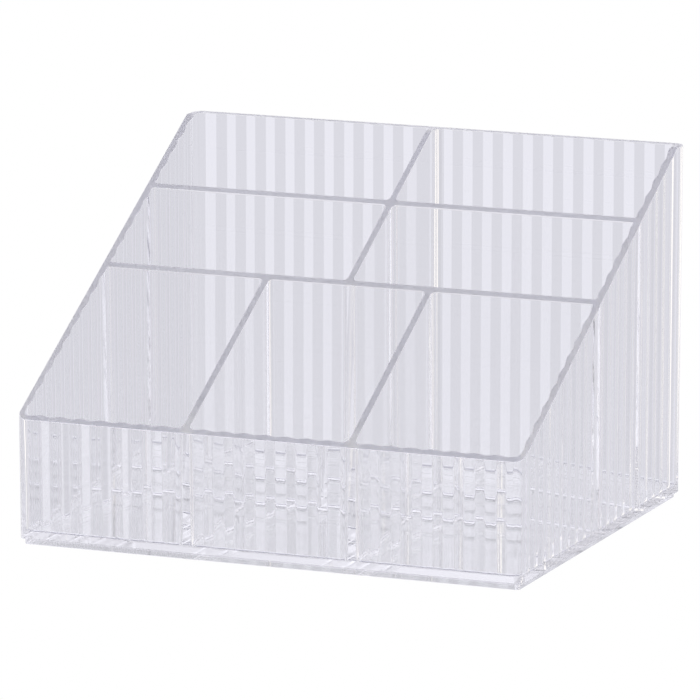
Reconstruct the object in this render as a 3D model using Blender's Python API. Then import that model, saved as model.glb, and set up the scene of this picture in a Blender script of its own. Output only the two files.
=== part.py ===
"""Clear seven-compartment organizer with fluted outer walls and a sloped rim.

Millimetre-true model in metres, +Z up. The origin is on the table under the centre of the footprint,
+Y points to the tall back and +X to the right of someone facing the low front.

The product is one injection moulding. It is drawn here as the walls that make it up: each wall is a
block that the neighbouring pockets are sunk into, so that flutes, draft, corner rounds and floor
fillets all come from the pockets, as they come from the mould's cores.
"""
import math

import bmesh
import bpy

# Overall size
WIDTH = 0.240
DEPTH = 0.201
HEIGHT = 0.162
FRONT_HEIGHT = 0.0567
REAR_STRIP = 0.011

# Outer walls
WALL = 0.003
OUTER_DRAFT = 0.0012
OUTER_CORNER = 0.0048

# Flutes on the inner face of the outer walls. A crest stands in each corner, except that the front
# and back ones start a little outside the left wall
FLUTE_PITCH = 0.00975
FLUTE_DEPTH = 0.0009
FLUTE_BLEND = 0.0009
FLUTE_SHIFT = 0.00095

# Compartments
DIVIDER = 0.0028
REAR_ROW = 0.0521
MIDDLE_ROW = 0.0469
POCKET_DRAFT = 0.0005
POCKET_CORNER = 0.0022
DIVIDER_FILLET = 0.0022
SIDE_FILLET = 0.0003
FLOOR_FILLET = 0.0013

# Floor and foot
FLOOR = 0.0032
FOOT_HEIGHT = 0.0026
FOOT_INSET = 0.0019
FOOT_RIM = 0.0026

# Working clearances: the joint between two walls, and how far a cutter runs past what it cuts
GAP = 0.0003
OVERRUN = 0.004

# Counts, angles and shares
ARC_STEPS = 8
FILLET_STEPS = 4
FRONT_COMPARTMENTS = 3
CORNER_SHARE = 0.75
QUARTER = math.pi / 2

# Places worked out from the sizes above
INNER_X = WIDTH / 2 - WALL
INNER_Y = DEPTH / 2 - WALL
FLOOR_TOP = FOOT_HEIGHT + FLOOR
FLUTES_ACROSS = round(2 * INNER_X / FLUTE_PITCH)
FLUTES_DEEP = round(2 * INNER_Y / FLUTE_PITCH)
PITCH_ACROSS = 2 * INNER_X / FLUTES_ACROSS
PITCH_DEEP = 2 * INNER_Y / FLUTES_DEEP
REAR_CROSS_Y = INNER_Y - REAR_ROW - DIVIDER / 2
MIDDLE_CROSS_Y = REAR_CROSS_Y - DIVIDER - MIDDLE_ROW
FRONT_DIVIDER_X = INNER_X / FRONT_COMPARTMENTS
CREASE_Y = DEPTH / 2 - REAR_STRIP
RIM_SLOPE = (HEIGHT - FRONT_HEIGHT) / (DEPTH - REAR_STRIP)
LARGEST_INSET = POCKET_DRAFT + FLOOR_FILLET

# How far an outer wall reaches inwards, a divider sideways and a corner along its walls
WALL_REACH = WALL + FLUTE_DEPTH + LARGEST_INSET
DIVIDER_REACH = DIVIDER / 2 + LARGEST_INSET
CORNER_X = WALL + PITCH_ACROSS * CORNER_SHARE
CORNER_Y = WALL + PITCH_DEEP * CORNER_SHARE

PART_NAME = "compartment_organizer"
CLEAR_TINT = (0.86, 0.86, 0.91, 1.0)
PLASTIC_ROUGHNESS = 0.06
PLASTIC_IOR = 1.57


def clear_scene():
    """Remove whatever the file holds, so that the model starts alone."""
    for item in list(bpy.data.objects):
        bpy.data.objects.remove(item, do_unlink=True)


def new_collection(name):
    collection = bpy.data.collections.new(name)
    bpy.context.scene.collection.children.link(collection)
    return collection


def clear_plastic(name):
    """Clear, faintly lavender polystyrene."""
    material = bpy.data.materials.new(name)
    material.use_nodes = True
    shader = material.node_tree.nodes["Principled BSDF"]
    shader.inputs["Base Color"].default_value = CLEAR_TINT
    shader.inputs["Roughness"].default_value = PLASTIC_ROUGHNESS
    shader.inputs["Metallic"].default_value = 0
    shader.inputs["IOR"].default_value = PLASTIC_IOR
    shader.inputs["Transmission Weight"].default_value = 1
    return material


def flute_rise(along, pitch):
    """How far the fluted face stands out at a distance along its wall from the first crest.

    Flat facets fall from a crest at each whole pitch to a valley midway, and a parabola of
    half-length FLUTE_BLEND rounds every crest and valley.
    """
    steepness = FLUTE_DEPTH / (pitch / 2)
    to_crest = abs(along - round(along / pitch) * pitch)
    to_valley = pitch / 2 - to_crest
    if to_valley < FLUTE_BLEND:
        return steepness * (to_valley ** 2 / (2 * FLUTE_BLEND) + FLUTE_BLEND / 2)
    if to_crest < FLUTE_BLEND:
        return FLUTE_DEPTH - steepness * (to_crest ** 2 / (2 * FLUTE_BLEND) + FLUTE_BLEND / 2)
    return steepness * to_valley


def flute_stations(start, end, pitch):
    """Distances between start and end where the flute profile bends, its two ends included."""
    stations = [start]
    for half_pitch in range(math.floor(2 * start / pitch), math.ceil(2 * end / pitch) + 1):
        middle = half_pitch * pitch / 2
        for along in (middle - FLUTE_BLEND, middle, middle + FLUTE_BLEND):
            if start + FLUTE_BLEND / 2 < along < end - FLUTE_BLEND / 2:
                stations.append(along)
    stations.append(end)
    return stations


class Pocket:
    """One compartment: a drafted core with round corners and fluted faces on the outer walls."""

    def __init__(self, name, left, right, front, back):
        self.name = name
        self.left, self.right = left, right
        self.front, self.back = front, back
        self.fluted_sides = [side for side, outer in (
            ("front", front == -INNER_Y),
            ("right", right == INNER_X),
            ("back", back == INNER_Y),
            ("left", left == -INNER_X),
        ) if outer]

    def corner_radius(self, side, next_side):
        """Radius of a corner. A fluted side adds a crest's height, so that the round starts clear of it."""
        fluted = [item for item in (side, next_side) if item in self.fluted_sides]
        if not fluted:
            return DIVIDER_FILLET
        if len(fluted) > 1:
            return POCKET_CORNER + FLUTE_DEPTH
        return (SIDE_FILLET if fluted[0] in ("left", "right") else DIVIDER_FILLET) + FLUTE_DEPTH

    def side_points(self, side, radius_before, radius_after, inset):
        """Points along one side, in anticlockwise order, between its two corner rounds.

        The rounds grow with the inset. The flutes keep the stations that the largest inset leaves
        room for, so that every section has as many points as the next.
        """
        along_x = side in ("front", "back")
        low, high = (self.left, self.right) if along_x else (self.front, self.back)
        if side in ("front", "right"):
            start, end = low + radius_before, high - radius_after
        else:
            start, end = low + radius_after, high - radius_before
        origin, pitch = (-INNER_X - FLUTE_SHIFT, PITCH_ACROSS) if along_x else (-INNER_Y, PITCH_DEEP)
        fluted = side in self.fluted_sides
        room = LARGEST_INSET - inset
        flutes = flute_stations(start + room - origin, end - room - origin, pitch)[1:-1] if fluted else []
        stations = [start - origin, *flutes, end - origin]
        points = []
        for along in stations:
            rise = inset + (flute_rise(along, pitch) if fluted else 0)
            place = origin + along
            points.append({
                "front": (place, self.front + rise),
                "right": (self.right - rise, place),
                "back": (place, self.back - rise),
                "left": (self.left + rise, place),
            }[side])
        return points if side in ("front", "right") else points[::-1]

    def outline(self, inset):
        """Anticlockwise plan outline of the pocket, shrunk by the inset."""
        sides = ("front", "right", "back", "left")
        radii = [inset + self.corner_radius(sides[i], sides[(i + 1) % 4]) for i in range(4)]
        runs = [self.side_points(side, radii[i - 1], radii[i], inset) for i, side in enumerate(sides)]
        points = []
        for i, run in enumerate(runs):
            points += run
            before, after = run[-1], runs[(i + 1) % 4][0]
            centre = (before[0], after[1]) if sides[i] in ("front", "back") else (after[0], before[1])
            for step in range(1, ARC_STEPS):
                turn = QUARTER * step / ARC_STEPS
                points.append(tuple(
                    centre[axis] + (before[axis] - centre[axis]) * math.cos(turn)
                    + (after[axis] - centre[axis]) * math.sin(turn)
                    for axis in (0, 1)))
        return points

    def rings(self):
        """Horizontal sections from the floor, through the floor fillet, to above the rim."""
        sections = []
        for step in range(FILLET_STEPS + 1):
            turn = QUARTER * step / FILLET_STEPS
            level = FLOOR_TOP + FLOOR_FILLET * (1 - math.cos(turn))
            fillet = FLOOR_FILLET * (1 - math.sin(turn))
            sections.append((level, self.outline(pocket_draft(level) + fillet)))
        top = HEIGHT + OVERRUN
        sections.append((top, self.outline(pocket_draft(top))))
        return sections


def pocket_draft(level):
    return POCKET_DRAFT * (1 - level / HEIGHT)


def outer_draft(level):
    return OUTER_DRAFT * (1 - level / HEIGHT)


def rounded_outline(half_x, half_y, radius):
    """Anticlockwise rectangle with round corners, centred on the origin."""
    points = []
    for quadrant, (side_x, side_y) in enumerate(((1, 1), (-1, 1), (-1, -1), (1, -1))):
        for step in range(ARC_STEPS + 1):
            turn = QUARTER * (quadrant + step / ARC_STEPS)
            points.append((
                side_x * (half_x - radius) + radius * math.cos(turn),
                side_y * (half_y - radius) + radius * math.sin(turn)))
    return points


def footprint(inset):
    return rounded_outline(WIDTH / 2 - inset, DEPTH / 2 - inset, max(OUTER_CORNER - inset, GAP))


def loft(name, sections):
    """Closed skin over a stack of (level, outline) sections with equal numbers of points."""
    mesh = bpy.data.meshes.new(name)
    work = bmesh.new()
    loops = [[work.verts.new((x, y, level)) for x, y in outline] for level, outline in sections]
    for lower, upper in zip(loops, loops[1:]):
        for i in range(len(lower)):
            j = (i + 1) % len(lower)
            work.faces.new((lower[i], lower[j], upper[j], upper[i]))
    work.faces.new(loops[0][::-1])
    work.faces.new(loops[-1])
    work.to_mesh(mesh)
    work.free()
    return bpy.data.objects.new(name, mesh)


def prism(name, profile, half_length):
    """Closed bar along X over a profile of (y, z) points."""
    mesh = bpy.data.meshes.new(name)
    work = bmesh.new()
    face = work.faces.new([work.verts.new((-half_length, y, z)) for y, z in profile])
    side = bmesh.ops.extrude_face_region(work, geom=[face])
    moved = [item for item in side["geom"] if isinstance(item, bmesh.types.BMVert)]
    bmesh.ops.translate(work, verts=moved, vec=(2 * half_length, 0, 0))
    bmesh.ops.recalc_face_normals(work, faces=work.faces)
    work.to_mesh(mesh)
    work.free()
    return bpy.data.objects.new(name, mesh)


def block(name, x_range, y_range, z_range):
    """Plain box between three pairs of limits, with its origin at its centre."""
    spans = (x_range, y_range, z_range)
    centre = [(low + high) / 2 for low, high in spans]
    bpy.ops.mesh.primitive_cube_add(size=1, location=centre)
    item = bpy.context.object
    item.name = name
    item.data.name = name
    item.scale = [high - low for low, high in spans]
    bpy.ops.object.transform_apply(location=False, rotation=False, scale=True)
    for collection in item.users_collection:
        collection.objects.unlink(item)
    return item


def boolean(item, cutter, operation):
    modifier = item.modifiers.new(f"{operation.lower()} {cutter.name}", "BOOLEAN")
    modifier.operation = operation
    modifier.object = cutter


class Organizer:
    """The whole part: its cutters, its walls and the empty that carries them."""

    def __init__(self):
        self.parts = new_collection(PART_NAME)
        self.cutters = new_collection("cutters")
        self.carrier = bpy.data.objects.new("organizer_origin", None)
        self.parts.objects.link(self.carrier)

    def add_cutter(self, item):
        item.hide_render = True
        item.display_type = "WIRE"
        self.cutters.objects.link(item)
        return item

    def add_part(self, item):
        item.data.materials.clear()
        item.data.materials.append(clear_plastic(f"{item.name}_plastic"))
        item.parent = self.carrier
        self.parts.objects.link(item)
        return item

    def make_cutters(self):
        """The drafted outer form, the rim cutter above the slope, and one core for each pocket."""
        levels = (FOOT_HEIGHT, HEIGHT + OVERRUN)
        self.outer_form = self.add_cutter(loft(
            "outer_form", [(level, footprint(outer_draft(level))) for level in levels]))
        start_y = -DEPTH / 2 - OVERRUN
        end_y = DEPTH / 2 + OVERRUN
        above = HEIGHT + 2 * OVERRUN
        self.rim_cutter = self.add_cutter(prism("rim_cutter", [
            (start_y, HEIGHT + (start_y - CREASE_Y) * RIM_SLOPE),
            (CREASE_Y, HEIGHT),
            (end_y, HEIGHT),
            (end_y, above),
            (start_y, above),
        ], WIDTH / 2 + OVERRUN))
        self.cores = {
            pocket.name: self.add_cutter(loft(f"{pocket.name}_core", pocket.rings()))
            for pocket in self.pockets()}

    def pockets(self):
        half = DIVIDER / 2
        rear = (REAR_CROSS_Y + half, INNER_Y)
        middle = (MIDDLE_CROSS_Y + half, REAR_CROSS_Y - half)
        front = (-INNER_Y, MIDDLE_CROSS_Y - half)
        return [
            Pocket("rear_left", -INNER_X, -half, *rear),
            Pocket("rear_right", half, INNER_X, *rear),
            Pocket("middle_left", -INNER_X, -half, *middle),
            Pocket("middle_right", half, INNER_X, *middle),
            Pocket("front_left", -INNER_X, -FRONT_DIVIDER_X - half, *front),
            Pocket("front_middle", -FRONT_DIVIDER_X + half, FRONT_DIVIDER_X - half, *front),
            Pocket("front_right", FRONT_DIVIDER_X + half, INNER_X, *front),
        ]

    def wall(self, name, x_range, y_range, pockets, outer=False):
        """A wall of the moulding: what the pockets, the slope and the outer form leave of a block."""
        item = block(name, x_range, y_range, (FLOOR_TOP + GAP, HEIGHT + OVERRUN / 2))
        if outer:
            boolean(item, self.outer_form, "INTERSECT")
        for pocket in pockets:
            boolean(item, self.cores[pocket], "DIFFERENCE")
        boolean(item, self.rim_cutter, "DIFFERENCE")
        return self.add_part(item)

    def make_floor(self):
        """Floor plate that steps in to a low foot rim, hollow underneath."""
        foot_inset = outer_draft(0) + FOOT_INSET
        floor = loft("base_floor", [
            (0, footprint(foot_inset)),
            (FOOT_HEIGHT, footprint(foot_inset)),
            (FOOT_HEIGHT, footprint(outer_draft(FOOT_HEIGHT))),
            (FLOOR_TOP, footprint(outer_draft(FLOOR_TOP))),
        ])
        recess_outline = footprint(foot_inset + FOOT_RIM)
        recess = self.add_cutter(loft("underside_recess", [
            (-OVERRUN, recess_outline),
            (FOOT_HEIGHT, recess_outline),
        ]))
        boolean(floor, recess, "DIFFERENCE")
        self.add_part(floor)

    def make_outer_walls(self):
        """Front, back and two side walls, each running between the fluted corners."""
        outer_x = (WIDTH / 2 - WALL_REACH, WIDTH / 2 + OVERRUN)
        outer_y = (DEPTH / 2 - WALL_REACH, DEPTH / 2 + OVERRUN)
        half_x = WIDTH / 2 - CORNER_X - GAP
        half_y = DEPTH / 2 - CORNER_Y - GAP
        self.wall("front_wall", (-half_x, half_x), (-outer_y[1], -outer_y[0]),
                  ("front_left", "front_middle", "front_right"), outer=True)
        self.wall("back_wall", (-half_x, half_x), outer_y, ("rear_left", "rear_right"), outer=True)
        self.wall("left_side_wall", (-outer_x[1], -outer_x[0]), (-half_y, half_y),
                  ("front_left", "middle_left", "rear_left"), outer=True)
        self.wall("right_side_wall", outer_x, (-half_y, half_y),
                  ("front_right", "middle_right", "rear_right"), outer=True)

    def make_corners(self):
        """Rounded corners, each parted from its walls in the middle of a flute's face."""
        outer_x = (WIDTH / 2 - CORNER_X, WIDTH / 2 + OVERRUN)
        outer_y = (DEPTH / 2 - CORNER_Y, DEPTH / 2 + OVERRUN)
        for row, y_range in (("front", (-outer_y[1], -outer_y[0])), ("rear", outer_y)):
            for hand, x_range in (("left", (-outer_x[1], -outer_x[0])), ("right", outer_x)):
                self.wall(f"{row}_{hand}_corner", x_range, y_range, (f"{row}_{hand}",), outer=True)

    def make_cross_walls(self):
        """The two full-width walls between the rows."""
        half_x = WIDTH / 2 - WALL_REACH - GAP
        rear_row = ("rear_left", "rear_right")
        middle_row = ("middle_left", "middle_right")
        front_row = ("front_left", "front_middle", "front_right")
        for name, place, pockets in (
                ("rear_cross_wall", REAR_CROSS_Y, rear_row + middle_row),
                ("middle_cross_wall", MIDDLE_CROSS_Y, middle_row + front_row)):
            self.wall(name, (-half_x, half_x), (place - DIVIDER_REACH, place + DIVIDER_REACH), pockets)

    def make_dividers(self):
        """The centre divider, in two lengths on either side of the rear cross wall, and the front two."""
        seat = DIVIDER_REACH + GAP
        rear_y = (REAR_CROSS_Y + seat, DEPTH / 2 - WALL_REACH - GAP)
        middle_y = (MIDDLE_CROSS_Y + seat, REAR_CROSS_Y - seat)
        front_y = (-DEPTH / 2 + WALL_REACH + GAP, MIDDLE_CROSS_Y - seat)
        for name, place, y_range, pockets in (
                ("rear_centre_divider", 0, rear_y, ("rear_left", "rear_right")),
                ("middle_centre_divider", 0, middle_y, ("middle_left", "middle_right")),
                ("front_left_divider", -FRONT_DIVIDER_X, front_y, ("front_left", "front_middle")),
                ("front_right_divider", FRONT_DIVIDER_X, front_y, ("front_middle", "front_right"))):
            self.wall(name, (place - DIVIDER_REACH, place + DIVIDER_REACH), y_range, pockets)

    def build(self):
        self.make_cutters()
        self.make_floor()
        self.make_outer_walls()
        self.make_corners()
        self.make_cross_walls()
        self.make_dividers()


def main():
    clear_scene()
    Organizer().build()


main()
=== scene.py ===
"""Clear seven-compartment organizer with fluted outer walls and a sloped rim, with its studio.

The product is one injection moulding, so it is built here as one closed clear body around the packed
walls. Metres, +Z up, +Y towards the tall back. The origin is on the table under the footprint's centre.
"""
import math

import bmesh
import bpy
from bpy.props import BoolProperty, FloatProperty, FloatVectorProperty, PointerProperty
from mathutils import Matrix, Vector


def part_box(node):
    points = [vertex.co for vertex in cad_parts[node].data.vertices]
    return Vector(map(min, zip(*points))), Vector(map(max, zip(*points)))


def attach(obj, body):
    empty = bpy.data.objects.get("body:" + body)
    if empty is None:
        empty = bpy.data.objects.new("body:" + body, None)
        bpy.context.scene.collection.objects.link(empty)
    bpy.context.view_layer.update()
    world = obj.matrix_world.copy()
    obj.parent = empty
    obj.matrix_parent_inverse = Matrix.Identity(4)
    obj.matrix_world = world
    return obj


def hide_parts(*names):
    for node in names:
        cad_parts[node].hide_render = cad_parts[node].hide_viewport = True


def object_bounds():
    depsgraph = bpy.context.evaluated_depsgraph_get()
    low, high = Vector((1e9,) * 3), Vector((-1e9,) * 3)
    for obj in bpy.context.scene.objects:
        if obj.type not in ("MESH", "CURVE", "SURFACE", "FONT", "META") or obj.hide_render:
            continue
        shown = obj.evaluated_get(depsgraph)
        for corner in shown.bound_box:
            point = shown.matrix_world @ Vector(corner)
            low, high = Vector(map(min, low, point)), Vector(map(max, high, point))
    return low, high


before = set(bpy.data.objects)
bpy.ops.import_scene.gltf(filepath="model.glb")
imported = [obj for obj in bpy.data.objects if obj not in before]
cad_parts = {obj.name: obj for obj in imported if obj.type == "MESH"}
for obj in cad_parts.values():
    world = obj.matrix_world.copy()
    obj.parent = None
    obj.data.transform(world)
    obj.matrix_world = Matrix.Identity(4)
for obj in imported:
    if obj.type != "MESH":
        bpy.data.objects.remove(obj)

bl_info = {
    "name": "Clear Compartment Organizer",
    "version": (1, 0, 0),
    "blender": (4, 5, 0),
    "location": "3D View > Sidebar > Organizer",
    "description": "Moulds a clear fluted organizer and lays out a plain studio for it",
    "category": "Object",
}

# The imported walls, and what the moulding takes from them
CAD_LOW, CAD_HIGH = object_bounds()
_, FLOOR_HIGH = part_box("base_floor")
REAR_CROSS_LOW, REAR_CROSS_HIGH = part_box("rear_cross_wall")
MIDDLE_CROSS_LOW, MIDDLE_CROSS_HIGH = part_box("middle_cross_wall")
FRONT_DIVIDER_LOW, FRONT_DIVIDER_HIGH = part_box("front_right_divider")

BODY = "root"

# Fineness of the rounds
ARC_STEPS = 10
FILLET_STEPS = 6
ROUND_STEPS = 4
BLEND_STEPS = 4
ROUND_END = math.radians(80)
QUARTER = math.pi / 2
SHARP_ANGLE = math.radians(35)

# Sockets of the Mix node when it mixes colours
MIX_SHARE, MIX_FIRST, MIX_SECOND, MIX_RESULT = 0, 6, 7, 2

# Light passes through many faces of plastic. How far the camera sees is in camera distances
LIGHT_BOUNCES = 96
BRIGHTEST_BOUNCE = 4
VIEW_REACH = 4


def length(name, description, default):
    return FloatProperty(name=name, description=description, default=default, min=0, unit="LENGTH")


def factor(name, description, default, high=1):
    return FloatProperty(name=name, description=description, default=default, min=0, max=high)


def angle(name, description, degrees):
    return FloatProperty(name=name, description=description, default=math.radians(degrees), subtype="ANGLE")


def tint(name, description, default):
    return FloatVectorProperty(name=name, description=description, default=default, min=0, max=1,
                               subtype="COLOR")


class MouldingSizes(bpy.types.PropertyGroup):
    """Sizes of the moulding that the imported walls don't give."""

    front_height: length("Front Height", "Height of the rim at the front face", 0.0567)
    rear_strip: length("Rear Strip", "Depth of the level strip along the back of the rim", 0.011)
    wall: length("Wall", "Thickness of the outer walls at a flute's valley", 0.003)
    outer_draft: length("Outer Draft", "How far the outer walls lean in at the table", 0.0012)
    outer_corner: length("Outer Corner", "Radius of the outer corners", 0.0048)
    flute_pitch: length("Flute Pitch", "Distance from crest to crest, before it is fitted", 0.00975)
    flute_depth: length("Flute Depth", "Height of a crest over a valley", 0.0009)
    flute_blend: length("Flute Blend", "Half-length of the round on a crest or a valley", 0.0005)
    flute_shift: length("Flute Shift",
                        "How far the flutes of the front and back start outside the left wall", 0.00095)
    divider: length("Divider", "Thickness of the walls between compartments", 0.0028)
    pocket_draft: length("Pocket Draft", "How far a compartment's walls lean in at the floor", 0.0005)
    pocket_corner: length("Pocket Corner", "Radius in the corners between outer walls", 0.0022)
    divider_fillet: length("Divider Fillet", "Radius where a divider meets a wall", 0.0022)
    side_fillet: length("Side Fillet", "Radius where a cross wall meets a side wall", 0.0003)
    floor_fillet: length("Floor Fillet", "Radius where a wall meets the floor", 0.0013)
    rim_round: length("Rim Round", "Radius along both edges of the rim", 0.00035)
    foot_height: length("Foot Height", "Height of the step above the table", 0.0026)
    foot_inset: length("Foot Inset", "How far the foot stands in from the wall", 0.0019)
    foot_rim: length("Foot Rim", "Width of the rim that stands on the table", 0.0026)
    foot_round: length("Foot Round", "Radius along the foot and the step above it", 0.0004)


class PlasticFinish(bpy.types.PropertyGroup):
    """Finish of the clear plastic."""

    depth_tint: tint("Depth Tint", "Colour that deep plastic keeps", (0.1, 0.03, 0.05))
    absorption: FloatProperty(name="Absorption", description="Light lost along a metre of plastic",
                              default=0.35, min=0)
    tint: tint("Tint", "Colour that a polished face lets through", (1, 1, 1))
    rim_tint: tint("Rim Tint", "Colour that the satin rim lets through", (1, 1, 0.96))
    side_rim_tint: tint("Side Rim Tint", "Colour that the rim of a side wall lets through", (1, 1, 0.97))
    rim_roughness: factor("Rim Roughness", "Roughness of the satin rim", 0.38)
    rim_band: length("Rim Band", "Height of the change from satin to polished", 0.0004)
    roughness: factor("Roughness", "Lowest roughness of the polished faces", 0.002)
    haze: factor("Haze", "Roughness that handling adds in places", 0.03)
    haze_size: length("Haze Size", "Size of the places that handling dulls", 0.01)
    haze_detail: factor("Haze Detail", "How many times their pattern is repeated at half the size", 5, 15)
    haze_contrast: factor("Haze Contrast", "Strength of each repeat against the one before", 0.6)
    refraction: factor("Refraction", "Index of refraction", 1.57, 3)
    swirl_size: length("Swirl Size", "Size of the flow marks left by the mould", 0.02)
    swirl_detail: factor("Swirl Detail", "How many times their pattern is repeated at half the size", 2, 15)
    swirl_contrast: factor("Swirl Contrast", "Strength of each repeat against the one before", 0.4)
    swirl_height: length("Swirl Height", "Height of the flow marks", 0.000004)
    draw: factor("Draw", "Scale of the flow marks along the walls' height, so that they run upwards", 0.03)


class StudioSettings(bpy.types.PropertyGroup):
    """Floor, light and camera."""

    white_backdrop: BoolProperty(name="White Backdrop", default=True,
                                 description="Show the floor and the surroundings as plain white")
    floor_size: length("Floor Size", "Width of the square floor", 8)
    floor_gap: length("Floor Gap", "Air between the foot and the floor, so that their faces don't coincide",
                      0.00005)
    light_tint: tint("Light Tint", "Colour of the surroundings", (0.923, 0.92, 1))
    left_light: factor("Left Light", "Brightness ahead on the left", 0.92, 10)
    right_light: factor("Right Light", "Brightness ahead on the right", 1.083, 10)
    turn: angle("Turn", "Half-width of the change from left to right", 3)
    ahead: angle("Ahead", "How far to each side the brightness ahead reaches", 14)
    left_side_light: factor("Left Side Light", "Brightness on the left beyond that", 0.83, 10)
    right_side_light: factor("Right Side Light", "Brightness on the right beyond that", 0.89, 10)
    back_light: factor("Back Light", "Brightness behind the camera", 0.77, 10)
    high_light: factor("High Light", "Brightness over the band round the horizon", 1.3, 10)
    high_height: factor("High Height", "Sine of the angle above the horizon where that starts", 0.32)
    high_soft: factor("High Softness", "Half-width of the change to it", 0.04)
    top_light: factor("Top Light", "Brightness overhead", 0.28, 10)
    top_height: factor("Top Height", "Sine of the angle above the horizon where that starts", 0.7)
    top_soft: factor("Top Softness", "Half-width of the change to it", 0.1)
    softbox_light: factor("Softbox Light", "Brightness of the softbox on the left", 1.42, 100)
    softbox_place: angle("Softbox Place", "How far to the left of straight ahead the softbox stands", 46)
    softbox_width: angle("Softbox Width", "Half-width of the softbox", 11.5)
    softbox_tint: tint("Softbox Tint", "Colour of the softbox", (1, 0.96, 0.93))
    floor_shine: factor("Floor Shine", "Share of the light that the floor gives back at a low angle", 0.85)
    floor_colour: tint("Floor Colour", "Colour of the pale matte floor under its gloss", (0.72, 0.72, 0.79))
    floor_turn: factor("Floor Turn",
                       "Where matte turns to gloss, from 0, seen from above, to 1, seen along the floor", 0.5)
    floor_soft: factor("Floor Softness", "Half-width of that change", 0.2)
    floor_roughness: factor("Floor Roughness", "Roughness of the glossy floor", 0)
    azimuth: angle("Azimuth", "Camera's turn round the organizer from its front", 22.57)
    elevation: angle("Elevation", "Camera's height above the horizon", 11.64)
    roll: angle("Roll", "Camera's turn about its own view", -0.14)
    distance: length("Distance", "Camera's distance from the point it looks at", 3.148)
    focal_length: FloatProperty(name="Focal Length", description="In millimetres on the sensor",
                                default=363.4, min=1)
    sensor: FloatProperty(name="Sensor", description="Width of the sensor in millimetres",
                          default=36, min=1)
    target: FloatVectorProperty(name="Target", description="Point that the camera looks at",
                                default=(-0.0043, 0.0062, 0.076), subtype="TRANSLATION", unit="LENGTH")


class Value:
    """A number or a colour inside a material, which Python's operators turn into Math nodes."""

    def __init__(self, nodes, socket):
        self.nodes = nodes
        self.socket = socket

    def math(self, operation, *others):
        return self.nodes.add("ShaderNodeMath", {"operation": operation}, (self, *others))

    def __add__(self, other):
        return self.math("ADD", other)

    def __radd__(self, other):
        return self.math("ADD", other)

    def __mul__(self, other):
        return self.math("MULTIPLY", other)

    def __sub__(self, other):
        return self.math("SUBTRACT", other)

    def __rsub__(self, other):
        return self.nodes.add("ShaderNodeMath", {"operation": "SUBTRACT"}, (other, self))

    def at_most(self, other):
        return self.math("MINIMUM", other)

    def size(self):
        return self.math("ABSOLUTE")

    def ramp(self, start, end):
        """Smooth change from 0 at the start to 1 at the end."""
        return self.nodes.add("ShaderNodeMapRange", {"interpolation_type": "SMOOTHSTEP"}, {
            "Value": self, "From Min": start, "From Max": end})


def opaque(colour):
    return (*colour, 1)


class Nodes:
    """The node tree of a material or of the world."""

    def __init__(self, owner):
        owner.use_nodes = True
        self.tree = owner.node_tree
        self.tree.nodes.clear()

    def add(self, kind, settings=None, inputs=(), output=0):
        """Add a node, set it up, fill or link its sockets, and give back one of its outputs."""
        node = self.tree.nodes.new(kind)
        for name, setting in (settings or {}).items():
            setattr(node, name, setting)
        pairs = inputs.items() if isinstance(inputs, dict) else enumerate(inputs)
        for key, given in pairs:
            if isinstance(given, Value):
                self.tree.links.new(given.socket, node.inputs[key])
            else:
                node.inputs[key].default_value = given
        if not node.outputs:
            return None
        return Value(self, node.outputs[output])

    def blend(self, share, first, second):
        """Colour between the first and the second, by the share of the second."""
        first, second = (item if isinstance(item, Value) else opaque(item) for item in (first, second))
        return self.add("ShaderNodeMix", {"data_type": "RGBA"}, {
            MIX_SHARE: share, MIX_FIRST: first, MIX_SECOND: second}, MIX_RESULT)


def clear_plastic(finish, form):
    """Polished clear plastic with faint flow marks and handling haze, and a satin rim."""
    material = bpy.data.materials.new("clear_plastic")
    nodes = Nodes(material)
    place = nodes.add("ShaderNodeTexCoord", output="Object")
    across, along, height = (nodes.add("ShaderNodeSeparateXYZ", None, (place,), axis) for axis in "XYZ")
    rim = form.height + (along - form.crease).at_most(0) * form.slope
    # Satin from one band under the rim upwards, so that the rim's rounds are satin too
    satin = (height - rim).ramp(-2 * finish.rim_band, -finish.rim_band)
    side = across.size().ramp(form.inner_x - form.sizes.divider, form.inner_x)
    drawn = nodes.add("ShaderNodeVectorMath", {"operation": "MULTIPLY"}, (place, (1, 1, finish.draw)))
    flow = nodes.add("ShaderNodeTexNoise", {"noise_dimensions": "3D"}, {
        "Vector": drawn, "Scale": 1 / finish.swirl_size, "Detail": finish.swirl_detail,
        "Roughness": finish.swirl_contrast})
    handling = nodes.add("ShaderNodeTexNoise", {"noise_dimensions": "3D"}, {
        "Vector": place, "Scale": 1 / finish.haze_size, "Detail": finish.haze_detail,
        "Roughness": finish.haze_contrast})
    polished = handling * handling * finish.haze + finish.roughness
    roughness = polished * (1 - satin) + satin * finish.rim_roughness
    rims = nodes.blend(side, finish.rim_tint, finish.side_rim_tint)
    colour = nodes.blend(satin, finish.tint, rims)
    normal = nodes.add("ShaderNodeBump", None, {
        "Strength": 1, "Distance": finish.swirl_height, "Height": flow})
    surface = nodes.add("ShaderNodeBsdfPrincipled", None, {
        "Base Color": colour, "Roughness": roughness, "IOR": finish.refraction,
        "Transmission Weight": 1, "Normal": normal})
    body = nodes.add("ShaderNodeVolumeAbsorption", None, {
        "Color": opaque(finish.depth_tint), "Density": finish.absorption})
    nodes.add("ShaderNodeOutputMaterial", None, {"Surface": surface, "Volume": body})
    return material


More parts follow.
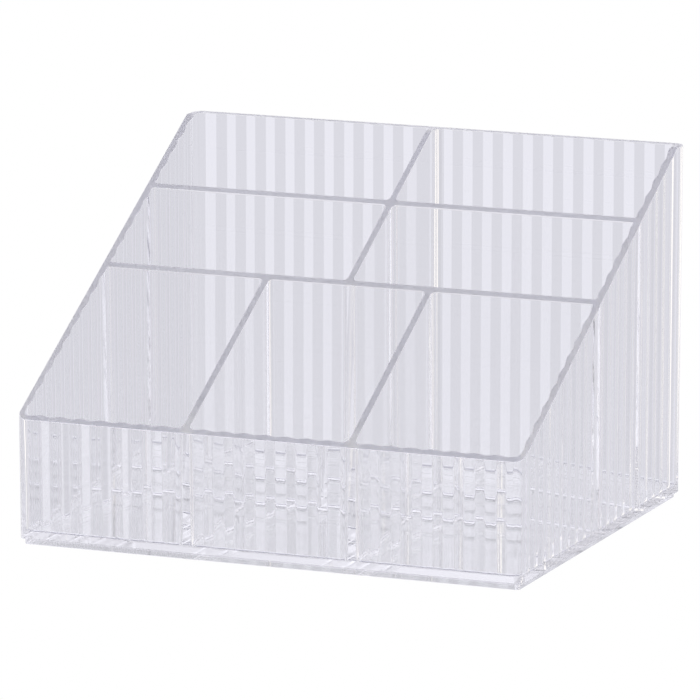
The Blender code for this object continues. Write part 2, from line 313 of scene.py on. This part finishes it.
class Form:
    """Heights, drafts and flutes of the moulding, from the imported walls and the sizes."""

    def __init__(self, sizes):
        self.sizes = sizes
        self.half_width = CAD_HIGH.x
        self.half_depth = CAD_HIGH.y
        self.height = CAD_HIGH.z
        self.floor_top = FLOOR_HIGH.z
        self.inner_x = self.half_width - sizes.wall
        self.inner_y = self.half_depth - sizes.wall
        self.crease = self.half_depth - sizes.rear_strip
        self.slope = (self.height - sizes.front_height) / (self.half_depth + self.crease)
        self.flutes_x = self.flutes(self.inner_x, sizes.flute_shift)
        self.flutes_y = self.flutes(self.inner_y, 0)

    def flutes(self, half, shift):
        """Where the flutes of a wall start, and their pitch."""
        return -half - shift, 2 * half / round(2 * half / self.sizes.flute_pitch)

    def rim(self, y):
        return self.height + min(0, y - self.crease) * self.slope

    def outer_draft(self, level):
        return self.sizes.outer_draft * (1 - level / self.height)

    def pocket_draft(self, level):
        return self.sizes.pocket_draft * (1 - level / self.height)

    def flute_rise(self, along, pitch):
        """Height of the fluted face over its valleys, at a distance from the first crest."""
        depth, blend = self.sizes.flute_depth, self.sizes.flute_blend
        steepness = depth / (pitch / 2)
        to_crest = abs(along - round(along / pitch) * pitch)
        to_valley = pitch / 2 - to_crest
        if to_valley < blend:
            return steepness * (to_valley ** 2 / (2 * blend) + blend / 2)
        if to_crest < blend:
            return depth - steepness * (to_crest ** 2 / (2 * blend) + blend / 2)
        return steepness * to_valley

    def flute_stations(self, start, end, pitch):
        """Distances between start and end where the flutes bend, without the two ends."""
        blend = self.sizes.flute_blend
        stations = []
        for half_pitch in range(math.floor(2 * start / pitch), math.ceil(2 * end / pitch) + 1):
            for step in range(BLEND_STEPS + 1):
                along = half_pitch * pitch / 2 + blend * (2 * step / BLEND_STEPS - 1)
                if start + blend / 2 < along < end - blend / 2:
                    stations.append(along)
        return stations

    def footprint(self, inset):
        """Anticlockwise outer outline with round corners, and a point on each side at the crease."""
        half_x, half_y = self.half_width - inset, self.half_depth - inset
        radius = max(self.sizes.outer_corner - inset, self.sizes.foot_round)
        points = []
        for quadrant, (side_x, side_y) in enumerate(((1, 1), (-1, 1), (-1, -1), (1, -1))):
            if quadrant == 0:
                points.append((half_x, self.crease))
            if quadrant == 2:
                points.append((-half_x, self.crease))
            for step in range(ARC_STEPS + 1):
                turn = QUARTER * (quadrant + step / ARC_STEPS)
                points.append((side_x * (half_x - radius) + radius * math.cos(turn),
                               side_y * (half_y - radius) + radius * math.sin(turn)))
        return points


class Pocket:
    """One compartment: a drafted core with round corners and flutes on the outer walls."""

    def __init__(self, form, left, right, front, back):
        self.form = form
        self.low = {"front": left, "back": left, "left": front, "right": front}
        self.high = {"front": right, "back": right, "left": back, "right": back}
        self.face = {"front": front, "back": back, "left": left, "right": right}
        outer = {"front": -form.inner_y, "back": form.inner_y, "left": -form.inner_x, "right": form.inner_x}
        self.fluted = {side for side in outer if self.face[side] == outer[side]}

    def corner_radius(self, side, next_side):
        """Radius of a corner. A fluted side adds a crest's height, so that the round starts clear of it."""
        sizes = self.form.sizes
        fluted = self.fluted & {side, next_side}
        if not fluted:
            return sizes.divider_fillet
        if len(fluted) > 1:
            return sizes.pocket_corner + sizes.flute_depth
        fillet = sizes.side_fillet if fluted <= {"left", "right"} else sizes.divider_fillet
        return fillet + sizes.flute_depth

    def side_points(self, side, radius_before, radius_after, inset):
        """Points along one side between its two corner rounds, anticlockwise.

        The corner rounds grow with the inset, and every ring has its flutes at the same stations.
        """
        form = self.form
        along_x = side in ("front", "back")
        forwards = side in ("front", "right")
        before, after = (radius_before, radius_after) if forwards else (radius_after, radius_before)
        start, end = self.low[side] + before + inset, self.high[side] - after - inset
        origin, pitch = form.flutes_x if along_x else form.flutes_y
        stations = [start - origin, end - origin]
        if side in self.fluted:
            grown = form.sizes.pocket_draft + form.sizes.floor_fillet - inset
            stations += form.flute_stations(start + grown - origin, end - grown - origin, pitch)
        if not along_x and start < form.crease < end:
            stations.append(form.crease - origin)
        inwards = 1 if side in ("front", "left") else -1
        points = []
        for along in sorted(stations):
            rise = inset + (form.flute_rise(along, pitch) if side in self.fluted else 0)
            place, across = origin + along, self.face[side] + inwards * rise
            points.append((place, across) if along_x else (across, place))
        return points if forwards else points[::-1]

    def outline(self, inset):
        """Anticlockwise outline of the pocket, shrunk by the inset."""
        sides = ("front", "right", "back", "left")
        radii = [self.corner_radius(sides[i], sides[(i + 1) % 4]) for i in range(4)]
        runs = [self.side_points(side, radii[i - 1], radii[i], inset) for i, side in enumerate(sides)]
        points = []
        for i, run in enumerate(runs):
            points += run
            before, after = run[-1], runs[(i + 1) % 4][0]
            centre = (before[0], after[1]) if sides[i] in ("front", "back") else (after[0], before[1])
            for step in range(1, ARC_STEPS):
                turn = QUARTER * step / ARC_STEPS
                points.append(tuple(
                    centre[axis] + (before[axis] - centre[axis]) * math.cos(turn)
                    + (after[axis] - centre[axis]) * math.sin(turn) for axis in (0, 1)))
        return points

    def rings(self):
        """Sections from the floor, through its fillet, to the rounded rim and on above it."""
        form, sizes = self.form, self.form.sizes
        rings = []
        for step in range(FILLET_STEPS + 1):
            turn = QUARTER * step / FILLET_STEPS
            level = form.floor_top + sizes.floor_fillet * (1 - math.cos(turn))
            inset = form.pocket_draft(level) + sizes.floor_fillet * (1 - math.sin(turn))
            rings.append([(x, y, level) for x, y in self.outline(inset)])
        for step in range(ROUND_STEPS + 1):
            turn = ROUND_END * step / ROUND_STEPS
            flare = sizes.rim_round * (1 - math.cos(turn))
            below = sizes.rim_round * (1 - math.sin(turn))
            rings.append([(x, y, form.rim(y) - below) for x, y in self.outline(-flare)])
        above = form.height + sizes.wall
        rings.append([(x, y, above) for x, y, level in rings[-1]])
        return rings


def skin(work, rings):
    """Quads between neighbouring rings of equal length. Gives back the first and the last loop."""
    loops = [[work.verts.new(point) for point in ring] for ring in rings]
    for lower, upper in zip(loops, loops[1:]):
        for i in range(len(lower)):
            j = (i + 1) % len(lower)
            work.faces.new((lower[i], lower[j], upper[j], upper[i]))
    return loops[0], loops[-1]


def finish_mesh(work, name):
    mesh = bpy.data.meshes.new(name)
    work.to_mesh(mesh)
    work.free()
    return bpy.data.objects.new(name, mesh)


def outer_body(form):
    """Solid outer form: hollow foot, ledge, drafted walls, rounded rim, sloped top and level strip."""
    sizes = form.sizes
    foot = sizes.outer_draft + sizes.foot_inset
    foot_top = sizes.foot_height
    small = sizes.foot_round
    levels = [(foot_top, foot + sizes.foot_rim), (0, foot + sizes.foot_rim)]
    for step in range(ROUND_STEPS + 1):
        turn = QUARTER * step / ROUND_STEPS
        levels.append((small * (1 - math.cos(turn)), foot + small * (1 - math.sin(turn))))
    levels.append((foot_top, foot))
    for step in range(ROUND_STEPS + 1):
        turn = QUARTER * step / ROUND_STEPS
        level = foot_top + small * (1 - math.cos(turn))
        levels.append((level, form.outer_draft(level) + small * (1 - math.sin(turn))))
    rings = [[(x, y, level) for x, y in form.footprint(inset)] for level, inset in levels]
    for step in range(ROUND_STEPS + 1):
        turn = QUARTER * step / ROUND_STEPS
        inset = sizes.rim_round * (1 - math.cos(turn))
        below = sizes.rim_round * (1 - math.sin(turn))
        ring = []
        for (x, y), (base_x, base_y) in zip(form.footprint(inset), form.footprint(0)):
            lean = form.outer_draft(form.rim(base_y))
            # The points at the crease stay on it
            lean_y = 0 if base_y == form.crease else math.copysign(lean, y)
            ring.append((x - math.copysign(lean, x), y - lean_y, form.rim(y) - below))
        rings.append(ring)
    work = bmesh.new()
    first, last = skin(work, rings)
    work.faces.new(first[::-1])
    crease = [i for i, vertex in enumerate(last) if abs(vertex.co.y - form.crease) < sizes.rim_round / 2]
    start, end = crease[0], crease[-1]
    work.faces.new(last[start:end + 1])
    work.faces.new(last[end:] + last[:start + 1])
    return finish_mesh(work, "organizer_moulding")


def pocket_cores(form):
    """The seven cores as one object."""
    half = form.sizes.divider / 2
    rear_cross = (REAR_CROSS_LOW.y + REAR_CROSS_HIGH.y) / 2
    middle_cross = (MIDDLE_CROSS_LOW.y + MIDDLE_CROSS_HIGH.y) / 2
    front_divider = (FRONT_DIVIDER_LOW.x + FRONT_DIVIDER_HIGH.x) / 2
    rear = (rear_cross + half, form.inner_y)
    middle = (middle_cross + half, rear_cross - half)
    front = (-form.inner_y, middle_cross - half)
    work = bmesh.new()
    for left, right, (low, high) in (
            (-form.inner_x, -half, rear), (half, form.inner_x, rear),
            (-form.inner_x, -half, middle), (half, form.inner_x, middle),
            (-form.inner_x, -front_divider - half, front),
            (-front_divider + half, front_divider - half, front),
            (front_divider + half, form.inner_x, front)):
        first, last = skin(work, Pocket(form, left, right, low, high).rings())
        work.faces.new(first[::-1])
        work.faces.new(last)
    return finish_mesh(work, "pocket_cores")


class ORGANIZER_OT_mould(bpy.types.Operator):
    """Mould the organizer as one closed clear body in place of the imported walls"""

    bl_idname = "organizer.mould"
    bl_label = "Mould Organizer"
    bl_options = {"REGISTER", "UNDO"}

    def execute(self, context):
        form = Form(context.scene.organizer_sizes)
        body = outer_body(form)
        cores = pocket_cores(form)
        for item in (body, cores):
            context.scene.collection.objects.link(item)
        cut = body.modifiers.new("Pockets", "BOOLEAN")
        cut.operation = "DIFFERENCE"
        cut.solver = "EXACT"
        cut.object = cores
        context.view_layer.update()
        mesh = bpy.data.meshes.new_from_object(body.evaluated_get(context.evaluated_depsgraph_get()))
        body.modifiers.clear()
        body.data = mesh
        mesh.name = body.name
        bpy.data.objects.remove(cores)
        mesh.shade_smooth()
        mesh.set_sharp_from_angle(angle=SHARP_ANGLE)
        weighting = body.modifiers.new("Flat Faces", "WEIGHTED_NORMAL")
        weighting.keep_sharp = True
        mesh.materials.clear()
        mesh.materials.append(clear_plastic(context.scene.organizer_finish, form))
        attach(body, BODY)
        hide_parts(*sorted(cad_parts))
        return {"FINISHED"}


def camera_axes(studio):
    """Right, up and backward directions of the camera."""
    back = Vector((math.sin(studio.azimuth) * math.cos(studio.elevation),
                   -math.cos(studio.azimuth) * math.cos(studio.elevation),
                   math.sin(studio.elevation)))
    right = Vector((math.cos(studio.azimuth), math.sin(studio.azimuth), 0))
    up = back.cross(right)
    rolled = right * math.cos(studio.roll) + up * math.sin(studio.roll)
    return rolled, back.cross(rolled), back


def unless_seen(nodes, shader):
    """The shader for light, and plain white where the camera sees it directly."""
    seen = nodes.add("ShaderNodeLightPath", output="Is Camera Ray")
    white = nodes.add("ShaderNodeEmission", None, {"Color": (1, 1, 1, 1), "Strength": 1})
    return nodes.add("ShaderNodeMixShader", None, (seen, shader, white))


def studio_world(studio):
    """Soft surroundings with one softbox on the left.

    Two tones ahead, dimmer at the sides and behind, a bright ring higher up and a dim patch overhead.
    """
    world = bpy.data.worlds.new("studio")
    nodes = Nodes(world)
    direction = nodes.add("ShaderNodeTexCoord", output="Generated")

    def towards(*axis):
        return nodes.add("ShaderNodeVectorMath", {"operation": "DOT_PRODUCT"}, (direction, axis), "Value")

    right = towards(math.cos(studio.azimuth), math.sin(studio.azimuth), 0)
    ahead = towards(-math.sin(studio.azimuth), math.cos(studio.azimuth), 0)
    height = towards(0, 0, 1)
    bearing = right.math("ARCTAN2", ahead)
    soft, reach = studio.turn, studio.ahead
    level = (studio.left_side_light
             + bearing.ramp(-reach - soft, -reach + soft) * (studio.left_light - studio.left_side_light)
             + bearing.ramp(-soft, soft) * (studio.right_light - studio.left_light)
             + bearing.ramp(reach - soft, reach + soft) * (studio.right_side_light - studio.right_light))
    behind = bearing.size().ramp(QUARTER, QUARTER + reach)
    level = level + behind * (studio.back_light - level)
    high = height.ramp(studio.high_height - studio.high_soft, studio.high_height + studio.high_soft)
    level = level + high * (studio.high_light - level)
    overhead = height.ramp(studio.top_height - studio.top_soft, studio.top_height + studio.top_soft)
    level = level + overhead * (studio.top_light - level)
    aside = (bearing + studio.softbox_place).size()
    box = aside.ramp(studio.softbox_width, studio.softbox_width - soft) * (1 - overhead)
    level = level + box * (studio.softbox_light - level)
    colour = nodes.blend(box, studio.light_tint, studio.softbox_tint)
    background = nodes.add("ShaderNodeBackground", None, {"Color": colour, "Strength": level})
    if studio.white_backdrop:
        background = unless_seen(nodes, background)
    nodes.add("ShaderNodeOutputWorld", None, {"Surface": background})
    return world


def floor_sheet(studio):
    """Pale matte sheet that gives the surroundings back like a mirror at a low angle."""
    material = bpy.data.materials.new("floor_sheet")
    nodes = Nodes(material)
    low_angle = nodes.add("ShaderNodeLayerWeight", output="Facing").ramp(
        studio.floor_turn - studio.floor_soft, studio.floor_turn + studio.floor_soft)
    matte = nodes.add("ShaderNodeBsdfDiffuse", None, {"Color": opaque(studio.floor_colour)})
    gloss = nodes.add("ShaderNodeBsdfGlossy", None, {
        "Color": opaque([studio.floor_shine] * 3), "Roughness": studio.floor_roughness})
    sheet = nodes.add("ShaderNodeMixShader", None, (low_angle, matte, gloss))
    if studio.white_backdrop:
        sheet = unless_seen(nodes, sheet)
    nodes.add("ShaderNodeOutputMaterial", None, {"Surface": sheet})
    return material


class ORGANIZER_OT_studio(bpy.types.Operator):
    """Lay the floor, set the soft surroundings and place the camera"""

    bl_idname = "organizer.studio"
    bl_label = "Set Up Studio"
    bl_options = {"REGISTER", "UNDO"}

    def execute(self, context):
        scene = context.scene
        studio = scene.organizer_studio
        bpy.ops.mesh.primitive_plane_add(size=studio.floor_size, location=(0, 0, -studio.floor_gap))
        floor = context.object
        floor.name = "studio_floor"
        floor.data.materials.append(floor_sheet(studio))
        scene.world = studio_world(studio)
        right, up, back = camera_axes(studio)
        data = bpy.data.cameras.new("camera")
        data.sensor_width = studio.sensor
        data.lens = studio.focal_length
        data.clip_end = VIEW_REACH * studio.distance
        camera = bpy.data.objects.new("camera", data)
        turn = Matrix((right, up, back)).transposed().to_4x4()
        camera.matrix_world = Matrix.Translation(Vector(studio.target) + back * studio.distance) @ turn
        scene.collection.objects.link(camera)
        scene.camera = camera
        scene.view_settings.view_transform = "Standard"
        scene.cycles.max_bounces = LIGHT_BOUNCES
        scene.cycles.transmission_bounces = LIGHT_BOUNCES
        scene.cycles.glossy_bounces = LIGHT_BOUNCES
        scene.cycles.blur_glossy = 0
        scene.cycles.sample_clamp_indirect = BRIGHTEST_BOUNCE
        return {"FINISHED"}


class ORGANIZER_PT_panel(bpy.types.Panel):
    """Sidebar panel with the pieces and their settings."""

    bl_label = "Clear Organizer"
    bl_idname = "ORGANIZER_PT_panel"
    bl_space_type = "VIEW_3D"
    bl_region_type = "UI"
    bl_category = "Organizer"

    def draw(self, context):
        for operator, settings in (
                (ORGANIZER_OT_mould, (context.scene.organizer_sizes, context.scene.organizer_finish)),
                (ORGANIZER_OT_studio, (context.scene.organizer_studio,))):
            column = self.layout.column(align=True)
            for group in settings:
                for name in group.__annotations__:
                    column.prop(group, name)
            column.operator(operator.bl_idname)


CLASSES = (MouldingSizes, PlasticFinish, StudioSettings, ORGANIZER_OT_mould, ORGANIZER_OT_studio,
           ORGANIZER_PT_panel)


def register():
    for item in CLASSES:
        bpy.utils.register_class(item)
    bpy.types.Scene.organizer_sizes = PointerProperty(type=MouldingSizes)
    bpy.types.Scene.organizer_finish = PointerProperty(type=PlasticFinish)
    bpy.types.Scene.organizer_studio = PointerProperty(type=StudioSettings)


def unregister():
    del bpy.types.Scene.organizer_studio
    del bpy.types.Scene.organizer_finish
    del bpy.types.Scene.organizer_sizes
    for item in reversed(CLASSES):
        bpy.utils.unregister_class(item)


def main():
    register()
    bpy.ops.organizer.mould()
    bpy.ops.organizer.studio()


if __name__ == "__main__":
    main()
